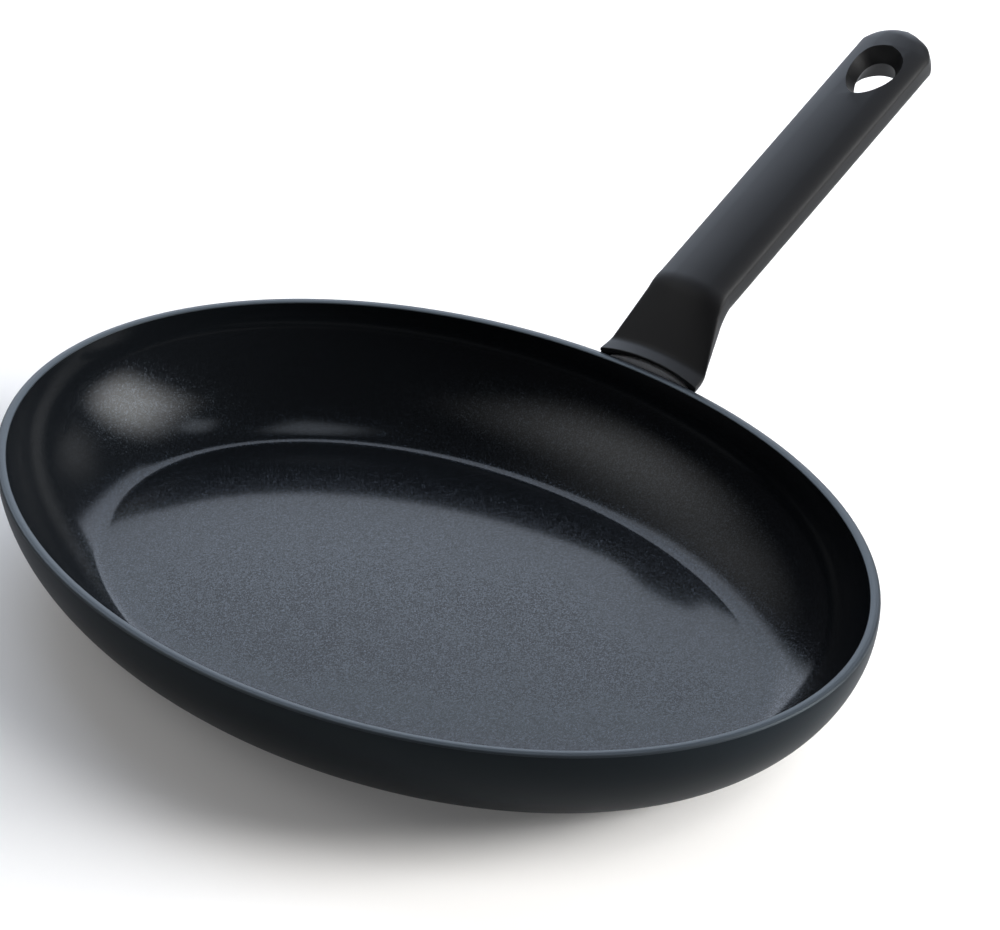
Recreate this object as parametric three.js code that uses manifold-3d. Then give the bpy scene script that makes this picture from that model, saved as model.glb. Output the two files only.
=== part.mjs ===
// Oval fish pan: a pressed aluminium bowl with a perforated induction plate in its base and a moulded
// handle, screwed over a cast lug that is welded to the middle of one long side.
// Millimetres, +Z up. The origin is the middle of the base on the resting plane, +Y runs to the handle.

import * as THREE from 'three';
import { mergeVertices } from 'three/addons/utils/BufferGeometryUtils.js';
import Module from 'manifold-3d';

const wasm = await Module();
wasm.setup();

// Bowl
const rimLength = 360;
const rimWidth = 260;
const panHeight = 49;
const wallThickness = 3.9;
const rimRound = 1.2;
const floorLength = 283.6;
const floorWidth = 185.4;
const floorThickness = 5.4;
const floorMeetAngle = 20;
const floorMeetRise = 4;
const footInsetLong = 9.8;
const footInsetShort = 3.8;
const rimStraight = 23.2;
const footRollLong = 21;
const footRollShort = 18;

// Induction plate
const plateBorder = 14;
const plateThickness = 1;
const plateGap = 0.3;
const plateHole = 5;
const holeEdge = 12;
const holeSpacing = 24;
const rowSpacing = 22;
const holeRows = 3;

// Handle: collar at the wall, neck, and grip
const rootGap = 0.4;
const rootReach = 12;
const collarRise = 4;
const collarWidth = 46.2;
const bandWidth = 45.2;
const bandRun = 5.3;
const bandSlope = 25;
const collarUnderSlope = 15;
const neckRise = 21.7;
const neckSlope = 53.2;
const neckUnderSlope = 52;
const kneeTilt = 27;
const kneeBlend = 4.5;
const gripSlope = 21.45;
const gripLength = 152;
const gripWidth = 32.2;
const gripThickness = 15.5;
const endBulge = 10.4;
const endTopEdge = 6;
const endUnderEdge = 3;
const collarShoulder = 3.4;
const collarCrown = 2.6;
const gripShoulder = 6.2;
const gripCrown = 3.6;
const topSquareness = 4.5;
const collarUnderSquareness = 1.5;
const gripUnderSquareness = 3.3;

// Hang hole through the end of the grip, narrowest at its parting plane
const holeFromEnd = 26.1;
const holeTaper = 0.25;
const holeTopLength = 27.2;
const holeTopWidth = 20.4;
const holePartingDepth = 6.8;
const holePartingLength = 21.4;
const holePartingWidth = 13.6;
const holePartingShift = 1;
const holeUnderLength = 28.8;
const holeUnderWidth = 22.8;
const holeUnderShift = 4.1;

// Lug, and the socket for it in the handle
const lipThickness = 1;
const slotHeight = 1.3;
const neckWall = 3.5;
const underWall = 5.6;
const lugReach = 25;
const weldGap = 0.3;
const fitGap = 0.3;

// Screw and lock washer under the neck
const screwReach = 21;
const screwDiameter = 4;
const screwLength = 7.8;
const screwHead = 7.5;
const screwHeadHeight = 2;
const screwHeadDish = 0.5;
const crossWidth = 1;
const crossLength = 4.2;
const crossDepth = 1.1;
const washerDiameter = 7;
const washerThickness = 0.8;
const washerSplit = 0.8;
const seatDepth = 3;
const seatGap = 0.1;

// Facets
const ovalSteps = 80;
const wallSteps = 10;
const rimSteps = 3;
const sectionSteps = 40;
const neckSteps = 5;
const kneeSteps = 4;
const endSteps = 8;
const arcSteps = 8;
const roundSteps = 24;

const radians = THREE.MathUtils.degToRad;

// Half sizes of the ovals
const rimHalf = new THREE.Vector2(rimLength / 2, rimWidth / 2);
const floorHalf = new THREE.Vector2(floorLength / 2, floorWidth / 2);
const footHalf = floorHalf.clone().sub(new THREE.Vector2(footInsetLong, footInsetShort));
const plateHalf = footHalf.clone().subScalar(plateBorder);

/** A closed solid from equally long point loops, with a fan over the first and the last one. */
function loft(loops) {
  const count = loops[0].length;
  const points = loops.flat();
  const index = [];
  for (let row = 0; row + 1 < loops.length; row += 1) {
    for (let i = 0; i < count; i += 1) {
      const next = (i + 1) % count;
      const a = row * count + i;
      const b = row * count + next;
      index.push(a, b, b + count, a, b + count, a + count);
    }
  }
  const lastRow = (loops.length - 1) * count;
  const firstMiddle = points.push(middleOf(loops[0])) - 1;
  const lastMiddle = points.push(middleOf(loops.at(-1))) - 1;
  for (let i = 0; i < count; i += 1) {
    const next = (i + 1) % count;
    index.push(firstMiddle, next, i, lastMiddle, lastRow + i, lastRow + next);
  }
  const geometry = new THREE.BufferGeometry().setFromPoints(points);
  geometry.setIndex(index);
  return geometry;
}

/** The mean of a loop's points. */
function middleOf(loop) {
  const sum = new THREE.Vector3();
  loop.forEach((point) => sum.add(point));
  return sum.divideScalar(loop.length);
}

/** A solid for cutting and joining from a closed geometry, whichever way its faces point. */
function toSolid(geometry) {
  const bare = geometry.clone();
  bare.deleteAttribute('normal');
  bare.deleteAttribute('uv');
  const merged = mergeVertices(bare);
  const triVerts = Uint32Array.from(merged.index.array);
  if (signedVolume(merged) < 0) {
    triVerts.reverse();
  }
  const vertProperties = Float32Array.from(merged.attributes.position.array);
  return new wasm.Manifold(new wasm.Mesh({ numProp: 3, vertProperties, triVerts }));
}

/** The volume inside an indexed geometry, negative where its faces point inwards. */
function signedVolume(geometry) {
  const corner = [0, 1, 2].map(() => new THREE.Vector3());
  const order = geometry.index.array;
  let volume = 0;
  for (let i = 0; i < order.length; i += 3) {
    corner.forEach((point, k) => point.fromBufferAttribute(geometry.attributes.position, order[i + k]));
    volume += corner[0].dot(corner[1].cross(corner[2])) / 6;
  }
  return volume;
}

/** The faces of a solid as a geometry. */
function toGeometry(solid) {
  const { vertProperties, triVerts } = solid.getMesh();
  const geometry = new THREE.BufferGeometry();
  geometry.setAttribute('position', new THREE.BufferAttribute(vertProperties, 3));
  geometry.setIndex(new THREE.BufferAttribute(triVerts, 1));
  geometry.computeVertexNormals();
  return geometry;
}

/** A level oval loop. */
function ovalLoop(half, z) {
  const oval = new THREE.EllipseCurve(0, 0, half.x, half.y);
  return oval.getPoints(ovalSteps).slice(1).map((point) => new THREE.Vector3(point.x, point.y, z));
}

/** Wall loops from the rim down to the foot, from one curve along each axis of the oval. */
function wallLoops(rim, foot, controlLong, controlShort, grow) {
  const curveLong = new THREE.CubicBezierCurve(rim.long, controlLong[0], controlLong[1], foot.long);
  const curveShort = new THREE.CubicBezierCurve(rim.short, controlShort[0], controlShort[1], foot.short);
  const loops = [];
  for (let step = 0; step <= wallSteps; step += 1) {
    const along = curveLong.getPoint(step / wallSteps);
    const across = curveShort.getPoint(step / wallSteps);
    loops.push(ovalLoop(new THREE.Vector2(along.x + grow, across.x + grow), along.y));
  }
  return loops;
}

/** The outer face of the bowl from below the rim's rounding to the foot, grown sideways. */
function outerWall(grow = 0) {
  const start = panHeight - rimRound;
  const rim = { long: new THREE.Vector2(rimHalf.x, start), short: new THREE.Vector2(rimHalf.y, start) };
  const foot = { long: new THREE.Vector2(footHalf.x, 0), short: new THREE.Vector2(footHalf.y, 0) };
  const below = new THREE.Vector2(0, -rimStraight);
  const controlLong = [rim.long.clone().add(below), new THREE.Vector2(footHalf.x + footRollLong, 0)];
  const controlShort = [rim.short.clone().add(below), new THREE.Vector2(footHalf.y + footRollShort, 0)];
  return wallLoops(rim, foot, controlLong, controlShort, grow);
}

/** The inner face of the bowl from the rim to the crease round the floor. */
function innerWall() {
  const edge = rimHalf.clone().subScalar(wallThickness);
  const rim = { long: new THREE.Vector2(edge.x, panHeight), short: new THREE.Vector2(edge.y, panHeight) };
  const foot = {
    long: new THREE.Vector2(floorHalf.x, floorThickness),
    short: new THREE.Vector2(floorHalf.y, floorThickness),
  };
  const below = new THREE.Vector2(0, -rimStraight);
  const meet = new THREE.Vector2(floorMeetRise / Math.tan(radians(floorMeetAngle)), floorMeetRise);
  const controlLong = [rim.long.clone().add(below), foot.long.clone().add(meet)];
  const controlShort = [rim.short.clone().add(below), foot.short.clone().add(meet)];
  return wallLoops(rim, foot, controlLong, controlShort, 0);
}

/** The bowl: recess for the plate, foot, outer wall, rounded rim, inner wall and floor. */
function bowlGeometry() {
  const recessHalf = plateHalf.clone().addScalar(plateGap);
  const loops = [ovalLoop(recessHalf, plateThickness + plateGap), ovalLoop(recessHalf, 0)];
  loops.push(...outerWall().reverse());
  for (let step = 1; step <= rimSteps; step += 1) {
    const turn = (step / rimSteps) * (Math.PI / 2);
    const inset = rimRound * (1 - Math.cos(turn));
    loops.push(ovalLoop(rimHalf.clone().subScalar(inset), panHeight - rimRound + rimRound * Math.sin(turn)));
  }
  loops.push(...innerWall());
  return toGeometry(toSolid(loft(loops)));
}

/** What lies inside the bowl's outer face, grown sideways and carried up past the rim. */
function wallCutter(grow) {
  const loops = outerWall(grow).reverse();
  loops.push(ovalLoop(rimHalf.clone().addScalar(grow), panHeight + neckRise));
  return toSolid(loft(loops));
}

/** The induction plate, with rows of holes on smaller ovals. */
function plateGeometry() {
  const outline = ovalLoop(plateHalf, 0).map((point) => new THREE.Vector2(point.x, point.y));
  const shape = new THREE.Shape(outline);
  for (let row = 0; row < holeRows; row += 1) {
    const half = plateHalf.clone().subScalar(holeEdge + row * rowSpacing);
    const oval = new THREE.EllipseCurve(0, 0, half.x, half.y);
    const count = Math.round(oval.getLength() / holeSpacing);
    oval.getSpacedPoints(count).slice(1).forEach((centre) => {
      const round = new THREE.EllipseCurve(centre.x, centre.y, plateHole / 2, plateHole / 2);
      shape.holes.push(new THREE.Path(round.getPoints(arcSteps).slice(1)));
    });
  }
  return new THREE.ExtrudeGeometry(shape, { depth: plateThickness, bevelEnabled: false });
}

/** A direction in the plane of y and z, turned up from +Y by an angle in degrees. */
function rising(angle, length = 1) {
  return new THREE.Vector2(Math.cos(radians(angle)), Math.sin(radians(angle))).multiplyScalar(length);
}

/** The point of a line through start, at a slope in degrees, that lies at y. */
function onSlope(start, slope, y) {
  return new THREE.Vector2(y, start.y + (y - start.x) * Math.tan(radians(slope)));
}

// The handle's middle plane: x is y of the pan and y is z of the pan in these points
const mouthTop = new THREE.Vector2(rimHalf.y + rootGap, panHeight + collarRise);
const bandTop = onSlope(mouthTop, bandSlope, mouthTop.x + bandRun);
const neckLength = neckRise / Math.sin(radians(neckSlope));
const kneeTop = bandTop.clone().add(rising(neckSlope, neckLength));
const kneeHeight = gripThickness / Math.cos(radians(kneeTilt - gripSlope));
const kneeUnder = kneeTop.clone().add(rising(kneeTilt - 90, kneeHeight));
const bandUnder = onSlope(kneeUnder, neckUnderSlope, bandTop.x);
const rootY = mouthTop.x - rootReach;
const rootTop = onSlope(mouthTop, bandSlope, rootY);
const rootUnder = onSlope(bandUnder, collarUnderSlope, rootY);

const collarForm = {
  shoulder: collarShoulder,
  crown: collarCrown,
  underSquareness: collarUnderSquareness,
};
const gripForm = {
  shoulder: gripShoulder,
  crown: gripCrown,
  underSquareness: gripUnderSquareness,
};
const flare = (collarWidth - bandWidth) / bandRun;
const rootSection = {
  ...collarForm,
  top: rootTop,
  under: rootUnder,
  halfWidth: (collarWidth + flare * rootReach) / 2,
};
const bandSection = { ...collarForm, top: bandTop, under: bandUnder, halfWidth: bandWidth / 2 };
const kneeSection = { ...gripForm, top: kneeTop, under: kneeUnder, halfWidth: gripWidth / 2 };

/** The section a share of the way from one section to the next. */
function between(first, second, share) {
  const mix = (name) => THREE.MathUtils.lerp(first[name], second[name], share);
  return {
    top: first.top.clone().lerp(second.top, share),
    under: first.under.clone().lerp(second.under, share),
    halfWidth: mix('halfWidth'),
    shoulder: mix('shoulder'),
    crown: mix('crown'),
    underSquareness: mix('underSquareness'),
  };
}

/** The grip's section at a distance from the knee, square to the grip. */
function gripSection(distance) {
  const top = kneeTop.clone().add(rising(gripSlope, distance));
  const under = top.clone().add(rising(gripSlope - 90, gripThickness));
  return { ...kneeSection, top, under };
}

/** A section made smaller at its sides, top and underside. */
function shrink(section, side, above, below) {
  const up = section.top.clone().sub(section.under).normalize();
  const height = section.top.distanceTo(section.under) - above - below;
  return {
    ...section,
    top: section.top.clone().addScaledVector(up, -above),
    under: section.under.clone().addScaledVector(up, below),
    halfWidth: section.halfWidth - side,
    shoulder: Math.min(section.shoulder, height / 2),
  };
}

/** The outline of a section: a crowned top over a shoulder, and a fuller or rounder underside. */
function sectionLoop(section) {
  const height = section.top.distanceTo(section.under);
  const up = section.top.clone().sub(section.under).normalize();
  const shoulder = section.top.clone().addScaledVector(up, -section.shoulder);
  const bend = (value, power) => Math.sign(value) * Math.abs(value) ** (2 / power);
  const loop = [];
  for (let step = 0; step < sectionSteps; step += 1) {
    const turn = (2 * Math.PI * step) / sectionSteps;
    const above = Math.sin(turn) > 0;
    const power = above ? topSquareness : section.underSquareness;
    const across = bend(Math.cos(turn), power);
    const reach = above ? section.shoulder - section.crown : height - section.shoulder;
    const crown = above ? section.crown * (1 - across ** 2) : 0;
    const rise = bend(Math.sin(turn), power) * reach + crown;
    const place = shoulder.clone().addScaledVector(up, rise);
    loop.push(new THREE.Vector3(across * section.halfWidth, place.x, place.y));
  }
  return loop;
}

/** Sections along the neck, from the collar's band to the bend. */
function neckSections() {
  const bendStart = 1 - kneeBlend / neckLength;
  const sections = [];
  for (let step = 0; step < neckSteps; step += 1) {
    sections.push(between(bandSection, kneeSection, (bendStart * step) / neckSteps));
  }
  return sections;
}

/** Sections through the bend between the neck and the grip. */
function kneeSections() {
  const before = between(bandSection, kneeSection, 1 - kneeBlend / neckLength);
  const after = gripSection(kneeBlend);
  const bendLine = (name) => new THREE.QuadraticBezierCurve(before[name], kneeSection[name], after[name]);
  const topLine = bendLine('top');
  const underLine = bendLine('under');
  const sections = [];
  for (let step = 0; step <= kneeSteps; step += 1) {
    const share = step / kneeSteps;
    const mixed = between(before, after, share);
    sections.push({ ...mixed, top: topLine.getPoint(share), under: underLine.getPoint(share) });
  }
  return sections;
}

/** Sections of the rounded end, on an arc in plan and with a rounded edge above and below. */
function endSections() {
  const halfWidth = gripWidth / 2;
  const radius = (halfWidth ** 2 + endBulge ** 2) / (2 * endBulge);
  const widest = Math.atan2(halfWidth, radius - endBulge);
  const sections = [];
  for (let step = 0; step < endSteps; step += 1) {
    const turn = widest * (1 - step / endSteps);
    const fromEnd = radius * (1 - Math.cos(turn));
    const rounding = (edge) => edge - Math.sqrt(edge ** 2 - Math.max(0, edge - fromEnd) ** 2);
    const plain = gripSection(gripLength - fromEnd);
    const side = halfWidth - radius * Math.sin(turn);
    sections.push(shrink(plain, side, rounding(endTopEdge), rounding(endUnderEdge)));
  }
  return sections;
}

/** Sections of the lug from inside the wall to a reach along the neck. */
function lugSections(reach) {
  const side = neckWall + fitGap;
  const below = underWall + fitGap;
  const mouthSection = between(rootSection, bandSection, rootReach / (rootReach + bandRun));
  const tip = between(bandSection, kneeSection, reach / neckLength);
  return [
    shrink(rootSection, side, lipThickness + slotHeight, below),
    shrink(mouthSection, side, lipThickness + slotHeight, below),
    shrink(bandSection, side, side, below),
    shrink(tip, side, side, below),
  ];
}

/** Sections of the socket: the lug's with the fit all round, and the slot above it at the wall. */
function socketSections() {
  const above = [slotHeight, slotHeight, fitGap, fitGap];
  return lugSections(lugReach + fitGap).map((section, i) => {
    const open = shrink(section, -fitGap, -above[i], -fitGap);
    return { ...open, shoulder: section.shoulder + above[i] };
  });
}

// Frame of the hang hole: its middle on the grip's top line, with z square to the grip
const holeFrame = new THREE.Matrix4().makeRotationX(radians(gripSlope));
const holeTop = gripSection(gripLength - holeFromEnd).top;
holeFrame.setPosition(0, holeTop.x, holeTop.y);

/** An egg-shaped outline, its big end towards the end of the grip, shifted towards the bowl. */
function eggLoop(length, width, z, shift = 0) {
  const loop = [];
  for (let step = 0; step < roundSteps; step += 1) {
    const turn = (2 * Math.PI * (step + 0.5)) / roundSteps;
    const across = (width / 2) * Math.sin(turn) * (1 + holeTaper * Math.cos(turn));
    const along = (length / 2) * Math.cos(turn) - shift;
    loop.push(new THREE.Vector3(across, along, z));
  }
  return loop;
}

/** The cutter of the hang hole: narrowest at the parting plane, wider above and below it. */
function hangHole() {
  const loops = [
    eggLoop(holeUnderLength, holeUnderWidth, -2 * gripThickness, holeUnderShift),
    eggLoop(holeUnderLength, holeUnderWidth, -gripThickness, holeUnderShift),
    eggLoop(holePartingLength, holePartingWidth, -holePartingDepth, holePartingShift),
    eggLoop(holeTopLength, holeTopWidth, 0),
    eggLoop(holeTopLength, holeTopWidth, gripThickness),
  ];
  return toSolid(loft(loops).applyMatrix4(holeFrame));
}

// Frame of the screw: its origin on the neck's underside, with z out of it
const screwPlace = between(bandSection, kneeSection, screwReach / neckLength).under;
const screwTurn = Math.PI + radians(neckUnderSlope);
const screwFrame = new THREE.Matrix4().makeRotationX(screwTurn);
screwFrame.setPosition(0, screwPlace.x, screwPlace.y);

/** A round bar along z from one height to another. */
function bar(diameter, from, to) {
  const geometry = new THREE.CylinderGeometry(diameter / 2, diameter / 2, to - from, roundSteps);
  return geometry.rotateX(Math.PI / 2).translate(0, 0, (from + to) / 2);
}

/** The hole for the screw's shank, from a depth below the neck's underside. */
function shankHole(depth) {
  return toSolid(bar(screwDiameter + 2 * fitGap, -depth, 0).applyMatrix4(screwFrame));
}

/** The open recess for the screw's head. */
function headRecess() {
  return toSolid(bar(screwHead + 4 * fitGap, -seatDepth, gripThickness).applyMatrix4(screwFrame));
}

/** The handle: collar, neck and grip, less the wall of the bowl, the socket and the holes. */
function handleGeometry() {
  const sections = [rootSection, ...neckSections(), ...kneeSections(), ...endSections()];
  const body = toSolid(loft(sections.map(sectionLoop)));
  const socket = toSolid(loft(socketSections().map(sectionLoop)));
  return toGeometry(
    body
      .subtract(wallCutter(rootGap))
      .subtract(socket)
      .subtract(hangHole())
      .subtract(shankHole(underWall + fitGap))
      .subtract(headRecess()),
  );
}

/** The lug: fills the socket but for its fit, with a slot left above it at the wall. */
function lugGeometry() {
  const core = toSolid(loft(lugSections(lugReach).map(sectionLoop)));
  return toGeometry(core.subtract(wallCutter(weldGap)).subtract(shankHole(gripThickness)));
}

/** The screw along z, its head above the washer, with a cross recess. */
function screwGeometry() {
  const under = washerThickness + 2 * seatGap;
  const top = under + screwHeadHeight;
  const profile = [
    new THREE.Vector2(0, under - screwLength),
    new THREE.Vector2(screwDiameter / 2, under - screwLength),
    new THREE.Vector2(screwDiameter / 2, under),
    new THREE.Vector2(screwHead / 2, under),
    new THREE.Vector2(screwHead / 2, top - screwHeadDish),
    new THREE.Vector2(screwHead / 2 - screwHeadDish, top),
    new THREE.Vector2(0, top),
  ];
  const turned = toSolid(new THREE.LatheGeometry(profile, roundSteps).rotateX(Math.PI / 2));
  const slot = new THREE.BoxGeometry(crossWidth, crossLength, 2 * crossDepth).translate(0, 0, top);
  const cross = toSolid(slot).add(toSolid(slot.clone().rotateZ(Math.PI / 2)));
  return toGeometry(turned.subtract(cross));
}

/** The split lock washer along z. */
function washerGeometry() {
  const inner = screwDiameter / 2 + fitGap;
  const outer = washerDiameter / 2;
  const profile = [
    new THREE.Vector2(inner, seatGap),
    new THREE.Vector2(outer, seatGap),
    new THREE.Vector2(outer, seatGap + washerThickness),
    new THREE.Vector2(inner, seatGap + washerThickness),
    new THREE.Vector2(inner, seatGap),
  ];
  const ring = toSolid(new THREE.LatheGeometry(profile, roundSteps).rotateX(Math.PI / 2));
  const split = new THREE.BoxGeometry(outer, washerSplit, 4 * washerThickness);
  split.translate((outer + inner) / 2, 0, 0);
  return toGeometry(ring.subtract(toSolid(split)));
}

const pan = new THREE.Group();

/** Adds a named piece with its finish. */
function piece(name, geometry, color, roughness, metalness, parent = pan) {
  const mesh = new THREE.Mesh(geometry, new THREE.MeshStandardMaterial({ color, roughness, metalness }));
  mesh.name = name;
  parent.add(mesh);
}

piece('pan_body', bowlGeometry(), 0x17181b, 0.4, 0);
piece('induction_plate', plateGeometry(), 0xa9abad, 0.35, 1);
piece('handle_lug', lugGeometry(), 0xb4b4b6, 0.45, 1);
piece('handle', handleGeometry(), 0x1d1e20, 0.6, 0);

// The screw and its washer share the frame of the recess, on its seat
const fixing = new THREE.Group();
fixing.rotation.x = screwTurn;
const seat = new THREE.Vector3(0, 0, -seatDepth).applyMatrix4(screwFrame);
fixing.position.copy(seat);
pan.add(fixing);
piece('lock_washer', washerGeometry(), 0x8f9194, 0.4, 1, fixing);
piece('handle_screw', screwGeometry(), 0x9a9c9f, 0.35, 1, fixing);

export default pan;
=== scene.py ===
"""Looks of the oval fish pan: bowl, handle, lug, induction plate and fixing, in a plain white studio.

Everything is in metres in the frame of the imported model: the origin is the middle of the base on the
resting plane, +Z is up and +Y runs from the middle of the bowl to the handle. The angles among the sizes
are in degrees.
"""

import logging
import math
from dataclasses import dataclass, field, replace
from enum import Enum
from typing import Any, Callable, Sequence, Union

import bmesh
import bpy
from mathutils import Matrix, Vector


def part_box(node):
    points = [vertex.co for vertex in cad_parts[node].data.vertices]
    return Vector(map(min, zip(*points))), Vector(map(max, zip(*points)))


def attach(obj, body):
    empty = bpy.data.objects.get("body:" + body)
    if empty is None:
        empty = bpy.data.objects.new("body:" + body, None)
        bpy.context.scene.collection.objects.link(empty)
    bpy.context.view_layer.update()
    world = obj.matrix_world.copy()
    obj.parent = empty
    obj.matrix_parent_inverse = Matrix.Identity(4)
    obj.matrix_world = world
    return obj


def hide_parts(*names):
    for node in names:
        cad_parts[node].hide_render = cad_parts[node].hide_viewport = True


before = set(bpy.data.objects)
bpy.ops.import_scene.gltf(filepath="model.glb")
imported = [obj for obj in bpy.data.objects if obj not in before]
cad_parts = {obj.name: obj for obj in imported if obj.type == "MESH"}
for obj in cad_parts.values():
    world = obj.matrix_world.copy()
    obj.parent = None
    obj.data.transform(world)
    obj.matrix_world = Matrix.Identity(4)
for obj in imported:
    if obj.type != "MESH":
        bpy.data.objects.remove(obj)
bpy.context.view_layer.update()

LOG = logging.getLogger("fish_pan")
BODY = "root"
HALVINGS = 30
FINE_DETAIL = 3.0
Colour = tuple[float, float, float]
Number = Union["Value", float]


def bezier(points: Sequence[Vector], share: float) -> Vector:
    """A point of a Bezier curve.

    Args:
        points: The control points, from start to end.
        share: How far along the curve, from 0 to 1.

    Returns:
        The point at that share.
    """
    while len(points) > 1:
        points = [first.lerp(second, share) for first, second in zip(points, points[1:])]
    return points[0]


def rising(angle: float, length: float = 1.0) -> Vector:
    """A direction in the plane of y and z, turned up from +Y by an angle in degrees."""
    return Vector((math.cos(math.radians(angle)), math.sin(math.radians(angle)))) * length


def on_slope(start: Vector, slope: float, y: float) -> Vector:
    """The point at y of a line through start with a slope in degrees."""
    return Vector((y, start.y + (y - start.x) * math.tan(math.radians(slope))))


def bearing(azimuth: float, elevation: float) -> Vector:
    """A direction at an azimuth from +X and an elevation, both in degrees."""
    turn, rise = math.radians(azimuth), math.radians(elevation)
    return Vector((math.cos(turn) * math.cos(rise), math.sin(turn) * math.cos(rise), math.sin(rise)))


def last_share(holds: Callable[[float], bool]) -> float:
    """Search by halving for the last share of a way at which a test still holds.

    Args:
        holds: The test, which holds at the start of the way and fails from some share on.

    Returns:
        The share, from 0 to 1.
    """
    low, high = 0.0, 1.0
    for _ in range(HALVINGS):
        middle = (low + high) / 2
        if holds(middle):
            low = middle
        else:
            high = middle
    return low


def deselect_all() -> None:
    """Leave edit mode and deselect every object."""
    if bpy.context.object and bpy.context.object.mode != "OBJECT":
        bpy.ops.object.mode_set(mode="OBJECT")
    bpy.ops.object.select_all(action="DESELECT")


def make_active(piece: bpy.types.Object) -> None:
    """Select one object alone and make it the active one.

    Args:
        piece: The object.
    """
    deselect_all()
    piece.select_set(True)
    bpy.context.view_layer.objects.active = piece


def apply_modifiers(piece: bpy.types.Object) -> None:
    """Apply all modifiers of a piece in their order.

    Args:
        piece: The piece with the modifiers.
    """
    make_active(piece)
    for modifier in list(piece.modifiers):
        bpy.ops.object.modifier_apply(modifier=modifier.name)


def cut(piece: bpy.types.Object, cutter: bpy.types.Object) -> None:
    """Cut a piece with a closed cutter, which is then removed.

    Args:
        piece: The piece that loses material.
        cutter: The solid that is taken away.
    """
    boolean = piece.modifiers.new("cut", "BOOLEAN")
    boolean.operation = "DIFFERENCE"
    boolean.solver = "EXACT"
    boolean.object = cutter
    apply_modifiers(piece)
    bpy.data.objects.remove(cutter, do_unlink=True)


def smooth(piece: bpy.types.Object, angle: float) -> None:
    """Shade a piece smooth, with sharp edges above an angle in degrees."""
    make_active(piece)
    bpy.ops.object.shade_smooth_by_angle(angle=math.radians(angle))


def apply_place() -> None:
    """Move the place, turn and scale of the selected object into its mesh."""
    bpy.ops.object.transform_apply(location=True, rotation=True, scale=True)


def place(piece: bpy.types.Object, matrix: Matrix) -> None:
    """Move a piece by a matrix and apply it, so that its object stays at the origin.

    Args:
        piece: The piece to move.
        matrix: Where it goes.
    """
    make_active(piece)
    piece.matrix_world = matrix
    apply_place()


class RingModel:
    """A closed mesh that is drawn from a circle primitive, extruded ring by ring."""

    def __init__(self, name: str, points: int) -> None:
        """Add the circle and go into edit mode.

        Args:
            name: The name of the new object.
            points: How many points each ring has.
        """
        deselect_all()
        bpy.ops.mesh.primitive_circle_add(vertices=points, radius=1.0)
        self.piece = bpy.context.object
        self.piece.name = name
        self.half = Vector((1.0, 1.0))
        self.height = 0.0
        self.order: dict[tuple[float, ...], int] = {}
        bpy.ops.object.mode_set(mode="EDIT")
        bpy.ops.mesh.select_all(action="SELECT")
        self.started = False

    def _extrude(self) -> None:
        """Extrude the selected ring in place, unless it is the first one."""
        if self.started:
            bpy.ops.mesh.extrude_region_move()
        self.started = True

    def oval(self, half_x: float, half_y: float, z: float) -> None:
        """Draw a level oval ring.

        Args:
            half_x: Half its size along x.
            half_y: Half its size along y.
            z: Its height.
        """
        self._extrude()
        factor = (half_x / self.half.x, half_y / self.half.y, 1.0)
        bpy.ops.transform.resize(value=factor, center_override=(0.0, 0.0, 0.0))
        bpy.ops.transform.translate(value=(0.0, 0.0, z - self.height))
        self.half = Vector((half_x, half_y))
        self.height = z

    def loop(self, points: Sequence[Vector]) -> None:
        """Draw a ring through given points, as many as the first circle has.

        Args:
            points: Where the points of the ring go, in order.
        """
        self._extrude()
        mesh = bmesh.from_edit_mesh(self.piece.data)
        ring = [vertex for vertex in mesh.verts if vertex.select]
        if not self.order:
            self.order = {tuple(vertex.co): i for i, vertex in enumerate(ring)}
        order = {}
        for vertex in ring:
            i = self.order[tuple(vertex.co)]
            vertex.co = points[i]
            order[tuple(vertex.co)] = i
        self.order = order
        bmesh.update_edit_mesh(self.piece.data)

    def close(self) -> bpy.types.Object:
        """Close both ends with a face, turn all faces outwards and leave edit mode.

        Returns:
            The finished object.
        """
        bpy.ops.mesh.edge_face_add()
        bpy.ops.mesh.select_all(action="DESELECT")
        bpy.ops.mesh.select_non_manifold()
        bpy.ops.mesh.edge_face_add()
        bpy.ops.mesh.select_all(action="SELECT")
        bpy.ops.mesh.normals_make_consistent(inside=False)
        bpy.ops.object.mode_set(mode="OBJECT")
        return self.piece


class Value:
    """A number that changes over a surface, with arithmetic that adds Math nodes."""

    def __init__(self, graph: "Graph", socket: bpy.types.NodeSocket) -> None:
        """Keep the graph and the socket that carries the number."""
        self.graph = graph
        self.socket = socket

    def __add__(self, other: Number) -> "Value":
        """The sum with a number."""
        return self.graph.math("ADD", self, other)

    def __sub__(self, other: Number) -> "Value":
        """This less a number."""
        return self.graph.math("SUBTRACT", self, other)

    def __rsub__(self, other: Number) -> "Value":
        """A number less this."""
        return self.graph.math("SUBTRACT", other, self)

    def __mul__(self, other: Number) -> "Value":
        """The product with a number."""
        return self.graph.math("MULTIPLY", self, other)

    def __truediv__(self, other: Number) -> "Value":
        """This divided by a number."""
        return self.graph.math("DIVIDE", self, other)

    def __rtruediv__(self, other: Number) -> "Value":
        """A number divided by this."""
        return self.graph.math("DIVIDE", other, self)

    def __pow__(self, other: Number) -> "Value":
        """This raised to a power."""
        return self.graph.math("POWER", self, other)

    def __rpow__(self, other: Number) -> "Value":
        """A number raised to this power."""
        return self.graph.math("POWER", other, self)

    __radd__ = __add__
    __rmul__ = __mul__


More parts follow.
